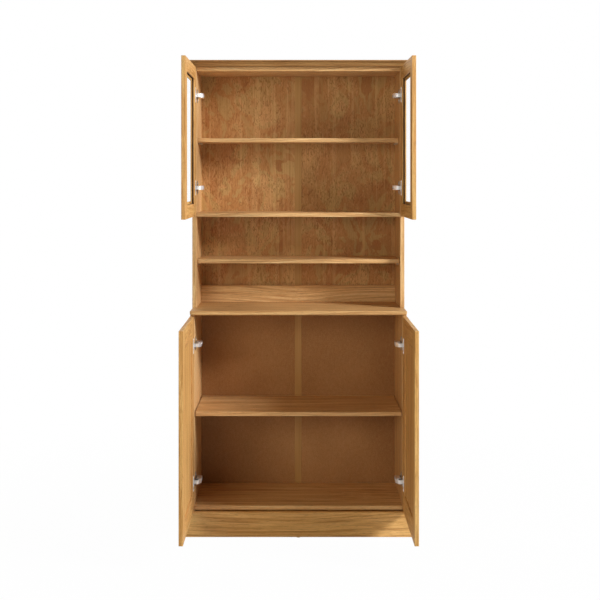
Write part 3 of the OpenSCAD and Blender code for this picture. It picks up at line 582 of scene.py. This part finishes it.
UPRIGHT = ["base_side_left", "base_side_right", "hutch_side_left", "hutch_side_right"]
LEVEL = ["base_bottom", "base_shelf", "hutch_top", "hutch_mid_shelf", "hutch_glazed_shelf",
         "hutch_open_shelf", "upstand_rail", "plinth_back"]
for node in UPRIGHT:
    board(node, "z", oak_carcass)
for node in LEVEL:
    board(node, "x", oak_carcass)
for node in ("hutch_back_left", "hutch_back_right"):
    board(node, "z", hutch_veneer, 0.0003)
for node in ("base_back_left", "base_back_right"):
    board(node, "z", base_board, 0.0003)
print("plain boards:", len(UPRIGHT) + len(LEVEL) + 4)

# %% [markdown]
# ## Worktop, plinth and cornice
# The worktop's front and end edges are rounded, less above than below. The plinth is three boards mitred
# at the front corners, with a rounded top edge. The cornice is a small moulding: a shallow hollow that leans
# out, a fine step and a square lip. Each is the same sweep with another profile, and a mitre is only an end
# whose place depends on where in the profile a point lies.

# %% Worktop
ROUND_UNDER, ROUND_OVER = 0.006, 0.003
low, high = limits("worktop")
corners = [(low[1], low[2]), (high[1], low[2]), (high[1], high[2]), (low[1], high[2])]
radii = [ROUND_UNDER, EDGE, EDGE, ROUND_OVER]
rings = carried(corners, radii, (low[0], high[0]), "x", ROUND_UNDER, 9)
settle("worktop_board", sewn("worktop", [rings]), "worktop", oak_worktop, "x")
print("worktop %.0f mm wide, %.0f mm thick" % ((high[0] - low[0]) * 1e3, (high[2] - low[2]) * 1e3))

# %% Plinth
ROUND, EASE = 0.0035, 0.0008
low, high = limits("plinth_front")
inner = limits("base_side_left")[0]
corners = [(low[1], low[2]), (high[1], low[2]), (high[1], high[2]), (low[1], high[2])]
rings = carried(corners, [EASE, EASE, EASE, ROUND], (0, 0), "x", EASE, 8, (
    lambda y, z: inner[0] - (inner[1] - y), lambda y, z: -inner[0] + (inner[1] - y)))
# The plinth's finish is a lighter copy of the oak, painted light for the doors' shade.
settle("plinth_front_board", sewn("plinth_front", [rings]), "plinth_front", oak_plinth,
       "x")

for side, sign in (("left", -1), ("right", 1)):
    low, high = limits("plinth_" + side)
    corners = [(low[2], low[0]), (high[2], low[0]), (high[2], high[0]), (low[2], high[0])]
    radii = [EASE, ROUND, EASE, EASE] if sign < 0 else [EASE, EASE, ROUND, EASE]
    rings = carried(corners, radii, (low[1], high[1]), "y", EASE, 8, (
        lambda z, x: inner[1] - (sign * x + inner[0]), None))
    node = "plinth_" + side
    settle(node + "_board", sewn(node, [rings]), node, oak_plinth, "y")
print("plinth: a front and two sides, %.0f mm high" % ((high[2] - low[2]) * 1e3))

# %% Cornice
low, high = limits("cornice_front")
OUT, TALL, COVE_W, COVE_H, HOLLOW = 0.020, 0.023, 0.017, 0.018, 0.002
STEP_IN, STEP_UP = 0.0018, 0.001
chord = math.hypot(COVE_W, COVE_H)
t = np.linspace(0, 1, 13)
sag = HOLLOW * 4 * t * (1 - t)
cove = np.stack([t * COVE_W - sag * COVE_H / chord, t * COVE_H + sag * COVE_W / chord], axis=1)
step = np.array([(OUT - STEP_IN, COVE_H), (OUT - STEP_IN, COVE_H + STEP_UP), (OUT, COVE_H + STEP_UP)])


def moulding(inward, bend=()):
    """Profile (outward, up) from the foot of the hollow, which bulges in by 4 h t (1 - t) from its chord.
    Where the mitre bends inside the piece, its top and its foot have a point there too."""
    over, under = [(-x, TALL) for x in bend], [(-x, 0.0) for x in bend]
    rest = np.array([(OUT, TALL)] + over + [(-inward, TALL), (-inward, 0.0)] + under)
    flat = [0.0] * len(bend)
    # the foot of the hollow, the hollow, the step and the lip's foot and top, then the corners at the back
    radii = [0.0004] + [0.0] * 12 + [0.0003, 0.0, 0.0003, 0.001] + flat + [0.0006, 0.0006] + flat
    return np.concatenate([cove, step, rest]), np.array(radii)


foot = low[1] + OUT
mitre_end = limits("cornice_left")[1][0]
profile, radii = moulding(high[1] - foot, (mitre_end - low[0] - OUT,))
shape = np.stack([foot - profile[:, 0], low[2] + profile[:, 1]], axis=1)[::-1]
rings = carried(shape, radii[::-1], (0, 0), "x", 0.0, 4, (
    lambda y, z: np.minimum(low[0] + (y - low[1]), mitre_end),
    lambda y, z: np.maximum(-low[0] - (y - low[1]), -mitre_end)))
# The cornice's finish is a darker copy of the oak, painted shade for its downward-leaning hollow.
settle("cornice_front_moulding", sewn("cornice_front", [rings]), "cornice_front",
       oak_cornice, "x")

for side, sign in (("left", -1), ("right", 1)):
    node = "cornice_" + side
    reach = limits(node)
    profile, radii = moulding(reach[1][0] - reach[0][0] - OUT)
    outer = reach[0][0] if sign < 0 else reach[1][0]
    shape = np.stack([low[2] + profile[:, 1], outer - sign * OUT + sign * profile[:, 0]], axis=1)
    shape, radii = (shape[::-1], radii[::-1]) if sign > 0 else (shape, radii)
    rings = carried(shape, radii, (0, reach[1][1]), "y", 0.0003, 4, (
        lambda z, x: low[1] + (sign * (outer - x)), None))
    settle(node + "_moulding", sewn(node, [rings]), node, oak_cornice, "y")
print("cornice: a front and two sides, %.0f mm high" % (TALL * 1e3))

# %% [markdown]
# ## Doors
# The lower doors are frames of two stiles and two rails round a thin panel. Each member was eased before the
# frame was glued, so a fine line shows at every joint. The upper doors hold glass in a rebate, behind
# mitred beads. The stiles with hinge bores, and the rebated members, are copies of their solids: their
# triangles are merged, flat faces joined, and a Bevel eases the edges.

# %% Door members
SMOOTH_BELOW, EASED_ABOVE = math.radians(32), math.radians(40)
GLAZED_MEMBERS = {"hinge_stile": "z", "meeting_stile": "z", "top_rail": "y", "bottom_rail": "y"}


def solid_copy(name, node, finish, axis, ease, segments=2, smooth=False):
    """A merged copy of a solid with its edges eased by a Bevel."""
    source = nodes[node].data
    co = np.empty(len(source.vertices) * 3)
    source.vertices.foreach_get("co", co)
    corner = np.empty(len(source.loops), int)
    source.loops.foreach_get("vertex_index", corner)
    mesh = bpy.data.meshes.new(name)
    mesh.from_pydata(co.reshape(-1, 3).tolist(), [], corner.reshape(-1, 3).tolist())
    merged(mesh, flatten=True)
    if smooth:
        mesh.shade_smooth()
        mesh.set_sharp_from_angle(angle=SMOOTH_BELOW)
    obj = settle(name, mesh, node, finish, axis)
    bevel = obj.modifiers.new("eased_edges", "BEVEL")
    bevel.width = ease
    bevel.segments = segments
    bevel.limit_method = "ANGLE"
    bevel.angle_limit = EASED_ABOVE
    bevel.harden_normals = smooth
    return obj


for side in ("left", "right"):
    door = "lower_%s_" % side
    hinge, meeting = limits(door + "hinge_stile"), limits(door + "meeting_stile")
    solid_copy("stile_" + door + "hinge", door + "hinge_stile", oak_door, "z", EDGE)
    board(door + "meeting_stile", "z", oak_door)
    board(door + "panel", "z", oak_door, 0.0004)
    for rail in ("top_rail", "bottom_rail"):
        low, high = limits(door + rail)
        low = [hinge[0][0], meeting[1][1], low[2]]
        high = [hinge[1][0], hinge[0][1], high[2]]
        board(door + rail, "y", oak_door, low=low, high=high)
    door = "upper_%s_" % side
    for member, axis in GLAZED_MEMBERS.items():
        solid_copy("frame_" + door + member, door + member, oak_door, axis, EDGE)
    solid_copy("beads_" + door + "glazing", door + "glazing_beads", oak_door, "longest",
               0.0010, 3)
    solid_copy("seal_" + door + "glazing", door + "glazing_seal", seal_rubber, None, 0.0002)
    solid_copy("pane_" + door + "glass", door + "glass", glass, None, 0.0003)
print("four doors hung")

# %% [markdown]
# ## Hinges and fittings
# Concealed hinges: a cup sunk in the door's stile, an arm that reaches from it to the side, and a plate with
# wings screwed to the side. Copies of the solids keep the moving parts true; the Bevel gives the
# pressed steel its soft edges. The screws are turned shapes, set where their solids stand, and a cross is
# sunk in the head of each.

# %% Hinges
solid_copy("hinge_arms_nickel", "hinge_arms", nickel, None, 0.00035, smooth=True)
# The plates take the dark tint that is painted shade.
solid_copy("hinge_plates_smoked", "hinge_plates", plate_painted_shade, None, 0.0005, smooth=True)
for door in ("upper_left", "upper_right", "lower_left", "lower_right"):
    solid_copy("hinge_cups_" + door, door + "_hinge_cups", nickel, None, 0.00025, smooth=True)
solid_copy("shelf_pins_bronze", "shelf_pins", bronze, None, 0.0004, smooth=True)
solid_copy("floor_glides_plastic", "floor_glides", glide_plastic, None, 0.0006, smooth=True)
solid_copy("hutch_back_strip", "hutch_back_joint_strip", strip_finish, None, 0.0004)
solid_copy("base_back_strip", "base_back_joint_strip", strip_finish, None, 0.0004)
nodes["dowels"].data.materials.clear()
nodes["dowels"].data.materials.append(dowel_wood)
print("fittings copied from their solids; the dowels are shown as they are")

# %% Screws
SMOOTH_SCREW = math.radians(35)


def separate(node):
    """Lowest and highest corner of each of the loose solids in a node."""
    mesh = merged(nodes[node].data.copy())
    co = np.empty(len(mesh.vertices) * 3)
    mesh.vertices.foreach_get("co", co)
    co = co.reshape(-1, 3)
    number = lumps(mesh)
    bpy.data.meshes.remove(mesh)
    return [(co[number == lump].min(axis=0), co[number == lump].max(axis=0)) for lump in np.unique(number)]


def turned(base, sign, shank_r, shank_len, head_r, head_t):
    """Rings of one screw along x: radius and place are read off a turned profile, from the tip to the crown.
    A cross is sunk in the crown by 0.55 head_t times 1.6 - a, kept between 0 and 1, where a is the distance
    to the nearer of two crossed lines over 0.14 head_r. It fades out from 0.54 to 0.62 of head_r."""
    place = np.array([-shank_len, -shank_len + shank_r, 0, 0, 0.35 * head_t, 0.7 * head_t, 0.9 * head_t,
                      0.96 * head_t, head_t, head_t, head_t, head_t])
    radius = np.array([0.02 * shank_r, shank_r, shank_r, head_r * 0.96, head_r, 0.93 * head_r, 0.80 * head_r,
                       0.66 * head_r, 0.52 * head_r, 0.36 * head_r, 0.20 * head_r, 0.02 * head_r])
    turn = np.linspace(0, 2 * math.pi, 33)[:-1] + math.pi / 32
    y, z = radius[:, None] * np.cos(turn), radius[:, None] * np.sin(turn)
    off = np.minimum(np.abs(y), np.abs(z)) / (0.14 * head_r)
    near = np.clip((0.62 * head_r - radius) / (0.08 * head_r), 0, 1)
    sink = near[:, None] * np.clip(1.6 - off, 0, 1) * (place >= 0.95 * head_t)[:, None] * 0.55 * head_t
    x = sign * (place[:, None] - sink)
    rings = np.stack([base[0] + x, base[1] + y, base[2] + z], axis=2)
    return rings if sign > 0 else rings[::-1]


def screws(name, node, shank_r, head_t):
    """All screws of a node. Each takes its place, its length and its head's radius from its own solid, and
    its head looks to the middle of the cabinet. A solid's round head is faceted, so the wider way counts."""
    grids = []
    for low, high in separate(node):
        middle = (low + high) / 2
        sign = 1 if middle[0] < 0 else -1
        crown = high[0] if sign > 0 else low[0]
        base = (crown - sign * head_t, middle[1], middle[2])
        shank_len, head_r = high[0] - low[0] - head_t, (high - low)[1:].max() / 2
        grids.append(turned(base, sign, shank_r, shank_len, head_r, head_t))
    mesh = sewn(name, grids)
    mesh.shade_smooth()
    mesh.set_sharp_from_angle(angle=SMOOTH_SCREW)
    settle(name, mesh, node, zinc)
    print(name, len(grids))


screws("plate_screws", "hinge_plate_screws", 0.0025, 0.0018)
screws("arm_screws", "hinge_arm_screws", 0.002, 0.0014)

# %% [markdown]
# ## Studio
# The photograph has a soft light high at the right, a weaker and warmer one from the front left, and a pale
# room; a third lamp behind is there for views of the back. Each lamp's level is what a white surface that
# faces it receives, so a colour renders about as it is written. The floor is pale; where the camera looks
# at it, it is mostly plain white, with the shadow kept.

# %% Lights
def softbox(name, place, aim, size, level, tint):
    """A square lamp. A surface at distance d that faces it shines white at P = level pi^2 d^2 watts."""
    place, aim = np.array(place, float), np.array(aim, float)
    lamp = bpy.data.lights.new(name, "AREA")
    lamp.shape, lamp.size = "SQUARE", size
    lamp.color = tint
    lamp.energy = level * math.pi ** 2 * float(((place - aim) ** 2).sum())
    obj = bpy.data.objects.new(name, lamp)
    obj.location = place
    back = (place - aim) / np.linalg.norm(place - aim)
    yaw = math.atan2(back[0], -back[1])
    obj.rotation_euler = (math.acos(back[2]), 0.0, yaw)
    obj.visible_camera = False
    bpy.context.scene.collection.objects.link(obj)


softbox("key_right", (4.2, -2.1, 3.0), (0, 0, 0.9), 1.3, 1.25, (0.98, 1.0, 1.07))
softbox("fill_front_left", (-1.6, -4.2, 1.9), (0, 0, 0.9), 1.6, 0.25, (1.0, 0.95, 0.80))
softbox("fill_behind", (-2.6, 3.6, 2.8), (0, 0.2, 1.0), 2.0, 0.45, (1.0, 1.0, 1.0))
print("lamps:", len(bpy.data.lights))

# %% Room and floor
world = bpy.data.worlds.new("pale_room")
bpy.context.scene.world = world
room = Finish("pale_room", world)
dim = room.node("ShaderNodeBackground", {}, {"Color": (0.94, 0.97, 1.0, 1.0), "Strength": 0.05})
white = room.node("ShaderNodeBackground", {}, {"Color": (1.0, 1.0, 1.0, 1.0), "Strength": 1.0})
chosen = room.node("ShaderNodeMixShader", {}, {0: room.seen(), 1: dim, 2: white})
room.node("ShaderNodeOutputWorld", {}, {"Surface": chosen})


def studio_floor():
    """Matt grey, but for rays that show it to the eye a share of it is plain white: 0.985 near the cabinet,
    rising to all of it at 2.4 m, where it meets the white room without a line. Inside the plinth, where no
    light comes, it stays matt: there the greater of |x| and 2.6 |y - 0.2| is under 0.37."""
    finish = Finish("studio_floor")
    place = finish.node("ShaderNodeTexCoord", {}, {}, "Object")
    away = finish.node("ShaderNodeVectorMath", {"operation": "LENGTH"}, {0: place}, "Value")
    middle = finish.node("ShaderNodeVectorMath", {"operation": "SUBTRACT"}, {0: place, 1: (0.0, 0.2, 0.0)})
    measured = finish.scaled(middle, (1, 2.6, 0))
    aside = finish.node("ShaderNodeVectorMath", {"operation": "ABSOLUTE"}, {0: measured})
    apart = {}
    for axis in "XY":
        apart[axis] = finish.node("ShaderNodeSeparateXYZ", {}, {0: aside}, axis)
    beyond = apart["X"].math("MAXIMUM", apart["X"], apart["Y"])
    share = (0.985 + finish.step(away, 0.7, 2.4) * 0.015) * finish.step(beyond, 0.37, 0.39)
    matt = finish.node("ShaderNodeBsdfDiffuse", {}, {"Color": (0.70, 0.70, 0.69, 1.0)})
    plain = finish.node("ShaderNodeEmission", {}, {"Color": (1.0, 1.0, 1.0, 1.0), "Strength": 1.0})
    both = finish.node("ShaderNodeMixShader", {}, {0: finish.seen() * share, 1: matt, 2: plain})
    finish.node("ShaderNodeOutputMaterial", {}, {"Surface": both})
    return finish.material


sheet = bpy.data.meshes.new("studio_floor")
sheet.from_pydata([(-9, -9, 0), (9, -9, 0), (9, 9, 0), (-9, 9, 0)], [], [(0, 1, 2, 3)])
floor = bpy.data.objects.new("studio_floor", sheet)
bpy.context.scene.collection.objects.link(floor)
sheet.materials.append(studio_floor())
print("room and floor:", world.name, floor.name)
